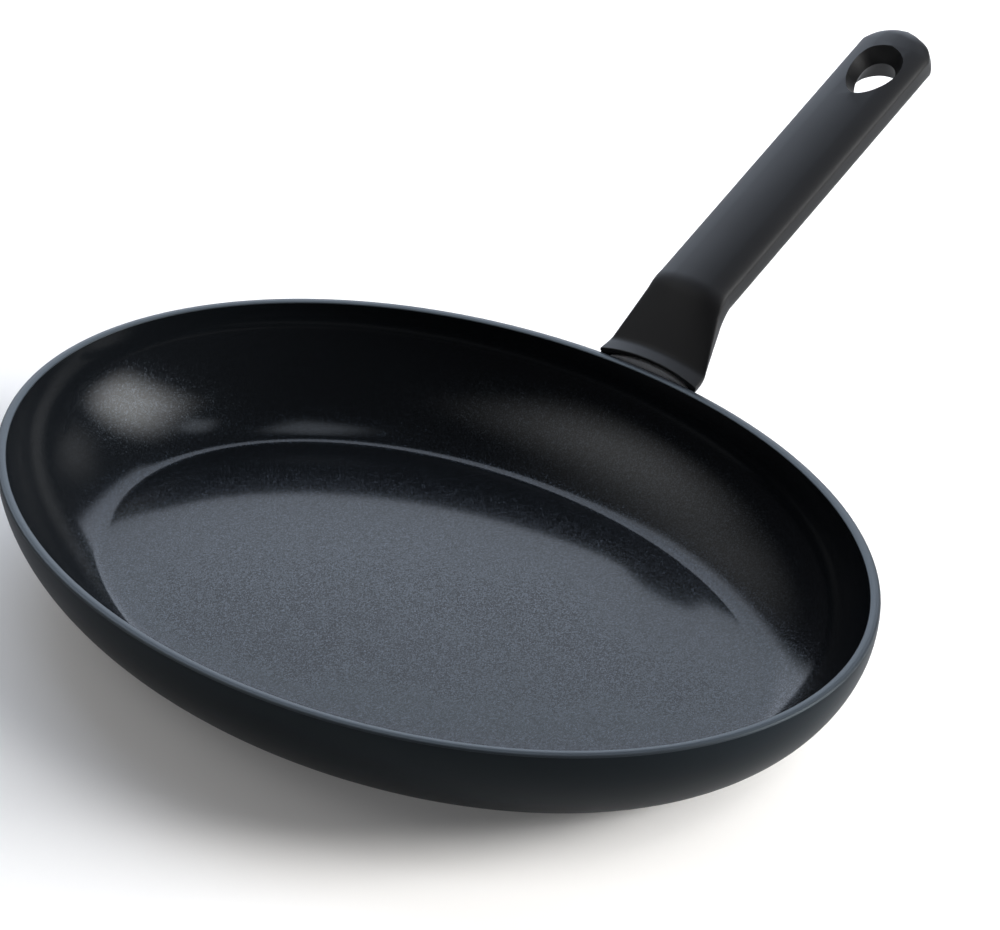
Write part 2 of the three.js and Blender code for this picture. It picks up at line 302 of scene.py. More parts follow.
class Graph:
    """The nodes of one material, of a lamp or of the world."""

    def __init__(self, tree: bpy.types.NodeTree) -> None:
        """Start with an empty tree."""
        self.tree = tree
        tree.nodes.clear()

    def feed(self, socket: bpy.types.NodeSocket, value: Any) -> None:
        """Link a socket to a value, or set the number or colour on it.

        Args:
            socket: The input of a node.
            value: A value, an output of a node, a number or a colour.
        """
        if isinstance(value, Value):
            value = value.socket
        if isinstance(value, bpy.types.NodeSocket):
            self.tree.links.new(value, socket)
        else:
            socket.default_value = value

    def node(self, kind: str, settings: dict[str, Any], sockets: dict[Any, Any]) -> bpy.types.Node:
        """Add a node.

        Args:
            kind: The type of the node.
            settings: Its properties, set first.
            sockets: The values or links of its inputs, by name or index.

        Returns:
            The new node.
        """
        made = self.tree.nodes.new(kind)
        for name, setting in settings.items():
            setattr(made, name, setting)
        for key, value in sockets.items():
            self.feed(made.inputs[key], value)
        return made

    def math(self, operation: str, first: Number, second: Number) -> Value:
        """A Math node on two numbers."""
        made = self.node("ShaderNodeMath", {"operation": operation}, {0: first, 1: second})
        return Value(self, made.outputs[0])

    def place(self) -> bpy.types.NodeSocket:
        """The place on the piece, in metres."""
        return self.node("ShaderNodeTexCoord", {}, {}).outputs["Object"]

    def noise(self, scale: float, detail: float = 2.0) -> Value:
        """Cloudy noise from 0 to 1, with a scale per metre."""
        sockets = {"Vector": self.place(), "Scale": scale, "Detail": detail}
        return Value(self, self.node("ShaderNodeTexNoise", {}, sockets).outputs["Fac"])

    def mix(self, mask: Number, first: Any, second: Any) -> bpy.types.NodeSocket:
        """The first colour where a mask is 0 and the second where it is 1."""
        # A Mix node's colour sockets share their names with others, so they go by their places.
        colours = {0: mask, 6: self.colour(first), 7: self.colour(second)}
        return self.node("ShaderNodeMix", {"data_type": "RGBA"}, colours).outputs[2]

    @staticmethod
    def colour(value: Any) -> Any:
        """A colour with its alpha, or a socket as it is."""
        return (*value, 1.0) if isinstance(value, tuple) else value

    def bump(self, height: Value, strength: float, distance: float) -> bpy.types.NodeSocket:
        """A normal from a height, with the distance in metres that a height of 1 stands for."""
        sockets = {"Height": height, "Strength": strength, "Distance": distance}
        return self.node("ShaderNodeBump", {}, sockets).outputs["Normal"]

    def vector(self, operation: str, sockets: dict[Any, Any]) -> bpy.types.NodeSocket:
        """A Vector Math node that ends in a vector."""
        return self.node("ShaderNodeVectorMath", {"operation": operation}, sockets).outputs["Vector"]

    def tilted(self, chance: bpy.types.NodeSocket, amount: float) -> bpy.types.NodeSocket:
        """The normal of the surface, tilted by a random colour.

        Args:
            chance: The random colour, each channel from 0 to 1.
            amount: How far the tilt reaches at most, to both sides together.

        Returns:
            The tilted normal.
        """
        middled = self.vector("SUBTRACT", {0: chance, 1: (0.5, 0.5, 0.5)})
        lean = self.vector("SCALE", {0: middled, "Scale": amount})
        upright = self.node("ShaderNodeNewGeometry", {}, {}).outputs["Normal"]
        return self.vector("NORMALIZE", {0: self.vector("ADD", {0: upright, 1: lean})})

    def parts(self, vector: bpy.types.NodeSocket) -> list[Value]:
        """The x, y and z of a vector."""
        made = self.node("ShaderNodeSeparateXYZ", {}, {0: vector})
        return [Value(self, socket) for socket in made.outputs]

    def fade(self, value: Value, low: float, high: float) -> Value:
        """A smooth rise from 0 to 1 while a value goes from low to high.

        Args:
            value: The value that goes up.
            low: Where the rise starts.
            high: Where the rise ends.

        Returns:
            The rise.
        """
        sockets = {"Value": value, "From Min": low, "From Max": high}
        made = self.node("ShaderNodeMapRange", {"interpolation_type": "SMOOTHSTEP"}, sockets)
        return Value(self, made.outputs[0])

    def surface(self, sockets: dict[str, Any]) -> None:
        """End the tree in a Principled shader with the given sockets."""
        shader = self.node("ShaderNodeBsdfPrincipled", {}, sockets)
        self.node("ShaderNodeOutputMaterial", {}, {"Surface": shader.outputs[0]})


def new_material(name: str, fill: Callable[[Graph], None]) -> bpy.types.Material:
    """A material whose nodes a function adds.

    Args:
        name: The material's name.
        fill: Adds the nodes to the graph that it is given.

    Returns:
        The new material.
    """
    material = bpy.data.materials.new(name)
    material.use_nodes = True
    fill(Graph(material.node_tree))
    return material


def shaded(colour: Colour, factor: float) -> Colour:
    """A colour made lighter or darker by a factor."""
    return tuple(factor * channel for channel in colour)


@dataclass(frozen=True)
class Finish:
    """What all finishes have: a name, and a material that each kind fills with its own nodes."""

    name: str

    def material(self) -> bpy.types.Material:
        """The finish as a Blender material."""
        return new_material(self.name, self.fill)

    def fill(self, graph: Graph) -> None:
        """Add the nodes of the finish to a graph, which each kind does in its own way."""
        raise NotImplementedError(self.name)


def dress(piece: bpy.types.Object, finish: Finish) -> None:
    """Add a finish to a piece, all over it if it is the first one."""
    piece.data.materials.append(finish.material())


@dataclass(frozen=True)
class CeramicCoat(Finish):
    """The near-black ceramic coating inside the bowl: tilted flakes under a smooth clear layer."""

    name: str = "ceramic_coat"
    tint: Colour = (0.68, 0.82, 1.0)
    ground: float = 0.006
    flake: float = 0.028
    flake_size: float = 0.0004
    flake_tilt: float = 0.16
    flake_roughness: float = 0.22
    rareness: float = 2.0
    clear: float = 0.46
    clear_roughness: float = 0.1

    def fill(self, graph: Graph) -> None:
        """Give each cell a flake with a mirror strength and a tilt of its own, on an even dark ground.

        Args:
            graph: The nodes of the material.
        """
        spread = {"Vector": graph.place(), "Scale": 1 / self.flake_size}
        cells = graph.node("ShaderNodeTexVoronoi", {}, spread)
        chance = graph.node("ShaderNodeTexWhiteNoise", {}, {"Vector": cells.outputs["Position"]})
        bright = Value(graph, chance.outputs["Value"]) ** self.rareness
        level = bright * (self.flake - self.ground) + self.ground
        graph.surface({
            "Base Color": graph.mix(level, (0.0, 0.0, 0.0), self.tint),
            "Roughness": self.flake_roughness,
            "Metallic": 1.0 - self.ground / level,
            "Specular IOR Level": 0.0,
            "Coat Weight": self.clear,
            "Coat Roughness": self.clear_roughness,
            "Normal": graph.tilted(cells.outputs["Color"], self.flake_tilt),
        })


@dataclass(frozen=True)
class Lacquer(Finish):
    """Satin black lacquer with a slight orange peel."""

    name: str = "satin_lacquer"
    base: Colour = (0.006, 0.0082, 0.0102)
    roughness: float = 0.36
    gloss: float = 0.1
    sheen: Colour = (0.8, 0.94, 1.0)
    peel: float = 900.0
    peel_depth: float = 0.000008
    cloud: float = 35.0
    cloud_lift: float = 1.35
    cloud_roughness: float = 0.08

    def fill(self, graph: Graph) -> None:
        """Add a dark coat with faint clouds, under a fine peel.

        Args:
            graph: The nodes of the material.
        """
        peel = graph.noise(self.peel)
        cloud = graph.noise(self.cloud)
        graph.surface({
            "Base Color": graph.mix(cloud, self.base, shaded(self.base, self.cloud_lift)),
            "Roughness": self.roughness + (cloud - 0.5) * self.cloud_roughness,
            "Specular IOR Level": self.gloss,
            "Specular Tint": graph.colour(self.sheen),
            "Normal": graph.bump(peel, 1.0, self.peel_depth),
        })


@dataclass(frozen=True)
class MouldedPlastic(Finish):
    """Matte black moulded plastic with a fine eroded grain."""

    name: str = "moulded_plastic"
    base: Colour = (0.004, 0.004, 0.0044)
    roughness: float = 0.46
    gloss: float = 0.31
    grain: float = 2600.0
    grain_roughness: float = 0.06
    grain_strength: float = 0.3
    grain_depth: float = 0.00005
    cloud: float = 45.0
    cloud_lift: float = 1.3
    cloud_roughness: float = 0.1

    def fill(self, graph: Graph) -> None:
        """Add a dark base with grain and faint cloudy wear.

        Args:
            graph: The nodes of the material.
        """
        grain = graph.noise(self.grain, FINE_DETAIL)
        cloud = graph.noise(self.cloud)
        worn = self.roughness + (cloud - 0.5) * self.cloud_roughness
        graph.surface({
            "Base Color": graph.mix(cloud, self.base, shaded(self.base, self.cloud_lift)),
            "Roughness": worn + (grain - 0.5) * self.grain_roughness,
            "Specular IOR Level": self.gloss,
            "Normal": graph.bump(grain, self.grain_strength, self.grain_depth),
        })


@dataclass(frozen=True)
class TurnedSteel(Finish):
    """Steel with fine rings that follow the oval of the base."""

    name: str = "turned_steel"
    base: Colour = (0.50, 0.50, 0.51)
    roughness: float = 0.33
    proportion: float = field(kw_only=True)
    ring: float = 0.0006
    ring_roughness: float = 0.2
    ring_strength: float = 0.35
    ring_depth: float = 0.00006
    stain: float = 22.0
    stain_shade: float = 0.8
    stain_roughness: float = 0.1

    def fill(self, graph: Graph) -> None:
        """Add rings by the distance from the middle of the base, in the oval's proportion, and faint stains.

        Args:
            graph: The nodes of the material.
        """
        along, across, _ = graph.parts(graph.place())
        across = across * self.proportion
        radius = (along * along + across * across) ** 0.5
        spread = {"W": radius, "Scale": 1 / self.ring, "Detail": FINE_DETAIL}
        rings = graph.node("ShaderNodeTexNoise", {"noise_dimensions": "1D"}, spread)
        turned = Value(graph, rings.outputs["Fac"])
        stain = graph.noise(self.stain, FINE_DETAIL)
        brushed = self.roughness + (turned - 0.5) * self.ring_roughness
        graph.surface({
            "Base Color": graph.mix(stain, self.base, shaded(self.base, self.stain_shade)),
            "Roughness": brushed + (stain - 0.5) * self.stain_roughness,
            "Metallic": 1.0,
            "Normal": graph.bump(turned, self.ring_strength, self.ring_depth),
        })


@dataclass(frozen=True)
class PlainMetal(Finish):
    """Metal with a fine grain: the cast lug or the plain steel of the fixing."""

    base: Colour
    roughness: float
    grain: float = 1500.0
    grain_shade: float = 0.75
    grain_roughness: float = 0.15
    grain_strength: float = 0.3
    grain_depth: float = 0.00005

    def fill(self, graph: Graph) -> None:
        """Add a base that grain darkens and roughens.

        Args:
            graph: The nodes of the material.
        """
        grain = graph.noise(self.grain, FINE_DETAIL)
        graph.surface({
            "Base Color": graph.mix(grain, self.base, shaded(self.base, self.grain_shade)),
            "Roughness": self.roughness + (grain - 0.5) * self.grain_roughness,
            "Metallic": 1.0,
            "Normal": graph.bump(grain, self.grain_strength, self.grain_depth),
        })


@dataclass(frozen=True)
class WallFace:
    """One face of the bowl's wall: a curve along each axis of the oval, from the rim down to the foot."""

    long: Sequence[Vector]
    short: Sequence[Vector]

    def oval(self, share: float) -> Vector:
        """The half sizes along x and y and the height, a share of the way down.

        Args:
            share: How far down the face, from 0 to 1.

        Returns:
            The oval there.
        """
        along = bezier(self.long, share)
        across = bezier(self.short, share)
        return Vector((along.x, across.x, along.y))

    def at_height(self, z: float) -> Vector:
        """The half sizes along x and y at a height between the foot and the rim, and the height."""
        return self.oval(last_share(lambda share: self.oval(share).z > z))


class Zone(Enum):
    """The faces of the bowl that have a finish of their own."""

    OUTSIDE = 0
    INSIDE = 1
    # RIM is the upturned top of the rim, which gets a copy of the lacquer with a lighter base: painted light
    # on the rim's top
    RIM = 2


@dataclass
class Bowl:
    """The pressed bowl: recess for the plate, foot, outer wall, rounded rim, inner wall and floor."""

    rim_half: Vector
    height: float
    wall: float = 0.0039
    rim_round: float = 0.0012
    rim_inner_round: float = 0.0005
    rim_crown: float = 0.0002
    floor_half: tuple[float, float] = (0.1418, 0.0927)
    floor_thickness: float = 0.0054
    floor_meet_angle: float = 20.0
    floor_meet_rise: float = 0.004
    crease_blend: float = 0.0025
    floor_dome: float = 0.002
    foot_inset: tuple[float, float] = (0.0098, 0.0038)
    foot_roll: tuple[float, float] = (0.021, 0.018)
    rim_straight: float = 0.0232
    plate_border: float = 0.014
    plate_thickness: float = 0.001
    plate_gap: float = 0.0003
    edge_round: float = 0.0002
    points: int = 256
    wall_steps: int = 36
    round_steps: int = 6
    dome_steps: int = 8
    smooth_angle: float = 40.0
    rim_faces_up: float = 0.2
    floor_faces_up: float = 0.9
    outer_finish: Finish = Lacquer()
    inner_finish: Finish = CeramicCoat()
    # The rim's upturned top gets a copy of the lacquer whose lighter base colour is painted light, standing
    # for the light the rim's top catches; its gloss and coarser peel belong to the surface
    rim_painted_light_finish: Finish = Lacquer(
        name="rim_lacquer_painted_light",
        base=(0.016, 0.019, 0.023),
        roughness=0.4,
        gloss=0.43,
        peel=1600.0,
        peel_depth=0.00004,
    )

    @property
    def foot_half(self) -> tuple[float, float]:
        """Half the size of the foot's oval."""
        return tuple(floor - inset for floor, inset in zip(self.floor_half, self.foot_inset))

    @property
    def plate_half(self) -> tuple[float, float]:
        """Half the size of the plate's oval."""
        return tuple(half - self.plate_border for half in self.foot_half)

    def outer_face(self) -> WallFace:
        """The outer face, from below the rim's rounding to the foot.

        Returns:
            The face.
        """
        start = self.height - self.rim_round
        below = start - self.rim_straight
        curves = []
        for rim, foot, roll in zip(self.rim_half, self.foot_half, self.foot_roll):
            points = ((rim, start), (rim, below), (foot + roll, 0.0), (foot, 0.0))
            curves.append([Vector(point) for point in points])
        return WallFace(*curves)

    def inner_face(self) -> WallFace:
        """The inner face, from the rim to the crease round the floor.

        Returns:
            The face.
        """
        meet = self.floor_meet_rise / math.tan(math.radians(self.floor_meet_angle))
        bottom = self.floor_thickness
        curves = []
        for rim, floor in zip(self.rim_half, self.floor_half):
            edge = rim - self.wall
            points = ((edge, self.height), (edge, self.height - self.rim_straight),
                      (floor + meet, bottom + self.floor_meet_rise), (floor, bottom))
            curves.append([Vector(point) for point in points])
        return WallFace(*curves)

    def outside(self, point: Vector, gap: float) -> float:
        """How far a point lies outside the outer face grown by a gap: above 0 outside, below 0 inside."""
        oval = self.outer_face().at_height(min(point.z, self.height - self.rim_round))
        return (point.x / (oval.x + gap)) ** 2 + (point.y / (oval.y + gap)) ** 2 - 1

    def _rounding(self, radius: float) -> list[tuple[float, float]]:
        """Steps of a quarter round, as its run and rise from its start."""
        turns = [math.pi / 2 * step / self.round_steps for step in range(1, self.round_steps + 1)]
        return [(radius * (1 - math.cos(turn)), radius * math.sin(turn)) for turn in turns]

    def _rings(self) -> list[Vector]:
        """All rings from the recess, over the foot, wall and rim, to the floor.

        Returns:
            The rings, each as its half sizes along x and y and its height.
        """
        rings = []
        recess = [half + self.plate_gap for half in self.plate_half]
        rings.append(Vector((*recess, self.plate_thickness + self.plate_gap)))
        rings.append(Vector((*recess, self.edge_round)))
        rings.append(Vector((*(half + self.edge_round for half in recess), 0.0)))
        outer = self.outer_face()
        rings += [outer.oval(1 - step / self.wall_steps) for step in range(self.wall_steps + 1)]
        inner = self.inner_face()
        rings += self._rim_rings(rings[-1], inner.oval(0))
        rings += self._inner_rings(inner)
        return rings

    def _rim_rings(self, start: Vector, edge: Vector) -> list[Vector]:
        """Rings over the rim: its outer round, the slightly crowned top and its inner round.

        Args:
            start: The top ring of the outer face.
            edge: The sharp inner edge at the full height.

        Returns:
            The rings from the outside to the inside.
        """
        low = 1 - self.rim_crown / self.rim_round
        rings = [start + Vector((-run, -run, low * rise)) for run, rise in self._rounding(self.rim_round)]
        radius = self.rim_inner_round
        outer = rings[-1]
        inner = edge + Vector((radius, radius, -self.rim_crown))
        for step in range(1, self.round_steps + 1):
            share = step / self.round_steps
            rise = 4 * self.rim_crown * share * (1 - share)
            rings.append(outer.lerp(inner, share) + Vector((0.0, 0.0, rise)))
        rings += [inner + Vector((-rise, -rise, -run)) for run, rise in self._rounding(radius)]
        return rings

    def _inner_rings(self, inner: WallFace) -> list[Vector]:
        """Rings down the inner wall, round the crease and onto the domed floor.

        Args:
            inner: The inner face of the wall.

        Returns:
            The rings from below the rim to near the middle of the floor.
        """
        length = self.crease_blend
        crease = inner.oval(1)
        blend_top = crease.z + length * math.sin(math.radians(self.floor_meet_angle))
        before = inner.at_height(blend_top)
        after = crease - Vector((length, length, 0.0))
        below_rim = self.height - 2 * self.rim_inner_round
        rings = []
        for step in range(1, self.wall_steps):
            oval = inner.oval(step / self.wall_steps)
            if blend_top < oval.z < below_rim:
                rings.append(oval)
        for step in range(self.round_steps + 1):
            rings.append(bezier([before, crease, after], step / self.round_steps))
        for step in range(1, self.dome_steps):
            share = 1 - step / self.dome_steps
            rise = self.floor_dome * (1 - share ** 2)
            rings.append(Vector((after.x * share, after.y * share, after.z + rise)))
        return rings

    def build(self) -> bpy.types.Object:
        """Model the bowl ring by ring and give its zones their finishes.

        Returns:
            The bowl.
        """
        model = RingModel("bowl", self.points)
        for ring in self._rings():
            model.oval(*ring)
        piece = model.close()
        smooth(piece, self.smooth_angle)
        self._dress(piece)
        return piece

    def _zone(self, face: bmesh.types.BMFace) -> Zone:
        """The zone that a face belongs to.

        Args:
            face: A face of the bowl.

        Returns:
            Its zone.
        """
        centre = face.calc_center_median()
        if centre.z > self.height - self.rim_round and face.normal.z > self.rim_faces_up:
            return Zone.RIM
        outward = Vector((centre.x / self.rim_half.x ** 2, centre.y / self.rim_half.y ** 2, 0.0))
        inward = face.normal.dot(outward) < 0.0 or face.normal.z > self.floor_faces_up
        over_base = centre.z > self.floor_thickness / 2
        return Zone.INSIDE if inward and over_base else Zone.OUTSIDE

    def _dress(self, piece: bpy.types.Object) -> None:
        """Give each zone its finish.

        Args:
            piece: The bowl.
        """
        finishes = {
            Zone.OUTSIDE: self.outer_finish,
            Zone.INSIDE: self.inner_finish,
            Zone.RIM: self.rim_painted_light_finish,
        }
        for zone in Zone:
            dress(piece, finishes[zone])
        make_active(piece)
        bpy.ops.object.mode_set(mode="EDIT")
        for zone in Zone:
            bpy.ops.mesh.select_all(action="DESELECT")
            mesh = bmesh.from_edit_mesh(piece.data)
            for face in mesh.faces:
                face.select_set(self._zone(face) is zone)
            bmesh.update_edit_mesh(piece.data)
            piece.active_material_index = zone.value
            bpy.ops.object.material_slot_assign()
        bpy.ops.object.mode_set(mode="OBJECT")


@dataclass
class InductionPlate:
    """The perforated steel plate in the base, with rows of holes on smaller ovals."""

    half: tuple[float, float]
    thickness: float
    hole: float = 0.005
    hole_edge: float = 0.012
    hole_spacing: float = 0.024
    row_spacing: float = 0.022
    rows: int = 3
    edge_round: float = 0.0002
    points: int = 192
    hole_points: int = 24
    row_steps: int = 2000
    smooth_angle: float = 30.0

    def _row(self, half_x: float, half_y: float) -> list[Vector]:
        """Evenly spaced hole centres on an oval.

        Args:
            half_x: Half the oval's size along x.
            half_y: Half the oval's size along y.

        Returns:
            The centres.
        """
        turns = [2 * math.pi * step / self.row_steps for step in range(self.row_steps + 1)]
        outline = [Vector((half_x * math.cos(turn), half_y * math.sin(turn), 0.0)) for turn in turns]
        lengths = [(second - first).length for first, second in zip(outline, outline[1:])]
        spacing = sum(lengths) / round(sum(lengths) / self.hole_spacing)
        centres = []
        walked = 0.0
        for point, length in zip(outline[1:], lengths):
            walked += length
            if walked >= spacing * (len(centres) + 1) - length / 2:
                centres.append(point)
        return centres

    def _hole_cutter(self) -> bpy.types.Object:
        """One bar for each hole, all in one object that reaches well past both faces.

        Returns:
            The cutter.
        """
        centres = []
        for row in range(self.rows):
            inset = self.hole_edge + row * self.row_spacing
            centres += self._row(self.half[0] - inset, self.half[1] - inset)
        deselect_all()
        bpy.ops.mesh.primitive_cylinder_add(
            vertices=self.hole_points,
            radius=self.hole / 2,
            depth=4 * self.thickness,
            location=centres[0],
        )
        cutter = bpy.context.object
        apply_place()
        bpy.ops.object.mode_set(mode="EDIT")
        bpy.ops.mesh.select_all(action="SELECT")
        for first, second in zip(centres, centres[1:]):
            bpy.ops.mesh.duplicate_move(TRANSFORM_OT_translate={"value": second - first})
        bpy.ops.object.mode_set(mode="OBJECT")
        return cutter

    def build(self) -> bpy.types.Object:
        """Model the plate, cut its holes and dress it.

        Returns:
            The plate.
        """
        model = RingModel("base_plate", self.points)
        inset = self.edge_round
        half_x, half_y = self.half
        model.oval(half_x - inset, half_y - inset, 0.0)
        model.oval(half_x, half_y, inset)
        model.oval(half_x, half_y, self.thickness)
        piece = model.close()
        cut(piece, self._hole_cutter())
        smooth(piece, self.smooth_angle)
        dress(piece, TurnedSteel(proportion=half_x / half_y))
        return piece


def rounded(value: float, power: float) -> float:
    """A sine or cosine bent so that a circle becomes a rounded square of some power."""
    return math.copysign(abs(value) ** (2 / power), value)


@dataclass(frozen=True)
class Section:
    """A cross-section of the handle: a crowned top over a shoulder, and a fuller or rounder underside."""

    top: Vector
    under: Vector
    half_width: float
    shoulder: float
    crown: float
    under_squareness: float
    top_squareness: float

    def mixed(self, other: "Section", share: float) -> "Section":
        """The section a share of the way to another one.

        Args:
            other: The section at the end of the way.
            share: How far along the way, from 0 to 1.

        Returns:
            The section between the two.
        """
        numbers = {}
        for name in ("half_width", "shoulder", "crown", "under_squareness", "top_squareness"):
            numbers[name] = (1 - share) * getattr(self, name) + share * getattr(other, name)
        top = self.top.lerp(other.top, share)
        under = self.under.lerp(other.under, share)
        return replace(self, top=top, under=under, **numbers)

    def shrunk(self, side: float, above: float, below: float) -> "Section":
        """The section made smaller, or larger where a number is below 0.

        Args:
            side: How much each side moves in.
            above: How much the top moves down.
            below: How much the underside moves up.

        Returns:
            The new section.
        """
        span = self.top - self.under
        up = span.normalized()
        height = span.length - above - below
        return replace(
            self,
            top=self.top - up * above,
            under=self.under + up * below,
            half_width=self.half_width - side,
            shoulder=min(self.shoulder, height / 2),
        )

    def outline(self, points: int) -> list[Vector]:
        """The section's outline.

        Args:
            points: How many points it has.

        Returns:
            The points, in the frame of the pan.
        """
        span = self.top - self.under
        up = span.normalized()
        middle = self.top - up * self.shoulder
        loop = []
        for step in range(points):
            turn = 2 * math.pi * step / points
            above = math.sin(turn) > 0
            power = self.top_squareness if above else self.under_squareness
            across = rounded(math.cos(turn), power)
            reach = self.shoulder - self.crown if above else span.length - self.shoulder
            crown = self.crown * (1 - across ** 2) if above else 0.0
            spot = middle + up * (rounded(math.sin(turn), power) * reach + crown)
            loop.append(Vector((across * self.half_width, spot.x, spot.y)))
        return loop


@dataclass
class HandleForm:
    """The lines of the handle: collar at the wall, neck, knee, grip and rounded end, with the lug inside."""

    bowl: Bowl
    root_gap: float = 0.0004
    root_reach: float = 0.012
    collar_rise: float = 0.004
    collar_width: float = 0.0462
    band_width: float = 0.0452
    band_run: float = 0.0053
    band_slope: float = 15.0
    collar_under_slope: float = 15.0
    neck_rise: float = 0.02275
    neck_slope: float = 54.49
    neck_under_slope: float = 52.0
    knee_tilt: float = 27.0
    knee_blend: float = 0.0045
    grip_slope: float = 21.45
    grip_length: float = 0.152
    grip_width: float = 0.0322
    grip_thickness: float = 0.0155
    end_bulge: float = 0.0104
    end_top_edge: float = 0.006
    end_under_edge: float = 0.003
    collar_shoulder: float = 0.0034
    collar_crown: float = 0.0026
    collar_under_squareness: float = 1.5
    collar_top_squareness: float = 4.5
    grip_shoulder: float = 0.0062
    grip_crown: float = 0.0036
    grip_under_squareness: float = 3.3
    grip_top_squareness: float = 8.0
    lip_thickness: float = 0.001
    slot_height: float = 0.0013
    neck_wall: float = 0.0035
    under_wall: float = 0.0056
    lug_reach: float = 0.02578
    weld_gap: float = 0.0003
    fit_gap: float = 0.0003
    screw_reach: float = 0.02166
    seat_depth: float = 0.003
    shank_hole: float = 0.0046
    points: int = 128
    bar_points: int = 48

    def __post_init__(self) -> None:
        """Work out the main points and sections on the middle plane, as y and z."""
        mouth_top = Vector((self.bowl.rim_half.y + self.root_gap, self.bowl.height + self.collar_rise))
        band_top = on_slope(mouth_top, self.band_slope, mouth_top.x + self.band_run)
        self.neck_length = self.neck_rise / math.sin(math.radians(self.neck_slope))
        self.knee_top = band_top + rising(self.neck_slope, self.neck_length)
        knee_height = self.grip_thickness / math.cos(math.radians(self.knee_tilt - self.grip_slope))
        knee_under = self.knee_top + rising(self.knee_tilt - 90, knee_height)
        band_under = on_slope(knee_under, self.neck_under_slope, band_top.x)
        root_y = mouth_top.x - self.root_reach
        flare = (self.collar_width - self.band_width) / self.band_run
        collar = (
            self.collar_shoulder, self.collar_crown, self.collar_under_squareness, self.collar_top_squareness)
        grip = (self.grip_shoulder, self.grip_crown, self.grip_under_squareness, self.grip_top_squareness)
        root_half = (self.collar_width + flare * self.root_reach) / 2
        root_top = on_slope(mouth_top, self.band_slope, root_y)
        root_under = on_slope(band_under, self.collar_under_slope, root_y)
        self.root = Section(root_top, root_under, root_half, *collar)
        self.band = Section(band_top, band_under, self.band_width / 2, *collar)
        self.knee = Section(self.knee_top, knee_under, self.grip_width / 2, *grip)

    def along_neck(self, reach: float) -> Section:
        """The section at a reach along the neck from the collar's band."""
        return self.band.mixed(self.knee, reach / self.neck_length)

    def along_grip(self, distance: float) -> Section:
        """The section at a distance along the grip, square to it.

        Args:
            distance: How far from the knee.

        Returns:
            The section there.
        """
        top = self.knee_top + rising(self.grip_slope, distance)
        under = top + rising(self.grip_slope - 90, self.grip_thickness)
        return replace(self.knee, top=top, under=under)

    def _meet(self, start: Vector, end: Vector, gap: float) -> Vector:
        """Where a line out of the bowl leaves its wall, whose outer face is grown by a gap."""
        share = last_share(lambda part: self.bowl.outside(start.lerp(end, part), gap) < 0)
        return start.lerp(end, share)

    def meet_wall(self, inner: Section, outer: Section, gap: float) -> list[Vector]:
        """The loop where lines from a section inside the wall to one outside it leave the grown wall."""
        lines = zip(inner.outline(self.points), outer.outline(self.points))
        return [self._meet(start, end, gap) for start, end in lines]

    def lug_sections(self, reach: float) -> list[Section]:
        """Sections of the lug from inside the wall to a reach along the neck.

        Args:
            reach: How far up the neck the last one lies.

        Returns:
            The sections at the root, the mouth, the band and the tip.
        """
        side = self.neck_wall + self.fit_gap
        below = self.under_wall + self.fit_gap
        slot = self.lip_thickness + self.slot_height
        mouth = self.root.mixed(self.band, self.root_reach / (self.root_reach + self.band_run))
        return [
            self.root.shrunk(side, slot, below),
            mouth.shrunk(side, slot, below),
            self.band.shrunk(side, side, below),
            self.along_neck(reach).shrunk(side, side, below),
        ]

    def socket_sections(self) -> list[Section]:
        """Sections of the socket: the lug's with the fit all round, and the slot above it at the wall.

        Returns:
            The sections at the root, the mouth, the band and the tip.
        """
        above = (self.slot_height, self.slot_height, self.fit_gap, self.fit_gap)
        sections = []
        for section, room in zip(self.lug_sections(self.lug_reach + self.fit_gap), above):
            grown = section.shrunk(-self.fit_gap, -room, -self.fit_gap)
            sections.append(replace(grown, shoulder=section.shoulder + room))
        return sections

    def screw_frame(self) -> Matrix:
        """The frame of the screw: its origin on the neck's underside, with z out of it.

        Returns:
            The frame, as a matrix.
        """
        spot = self.along_neck(self.screw_reach).under
        turn = Matrix.Rotation(math.pi + math.radians(self.neck_under_slope), 4, "X")
        return Matrix.Translation((0.0, spot.x, spot.y)) @ turn

    def screw_bar(self, diameter: float, low: float, high: float) -> bpy.types.Object:
        """A round bar on the axis of the screw.

        Args:
            diameter: Its diameter.
            low: The height of its lower end in the screw's frame.
            high: The height of its upper end in the screw's frame.

        Returns:
            The bar.
        """
        deselect_all()
        bpy.ops.mesh.primitive_cylinder_add(
            vertices=self.bar_points,
            radius=diameter / 2,
            depth=high - low,
            location=(0.0, 0.0, (low + high) / 2),
        )
        bar = bpy.context.object
        apply_place()
        place(bar, self.screw_frame())
        return bar


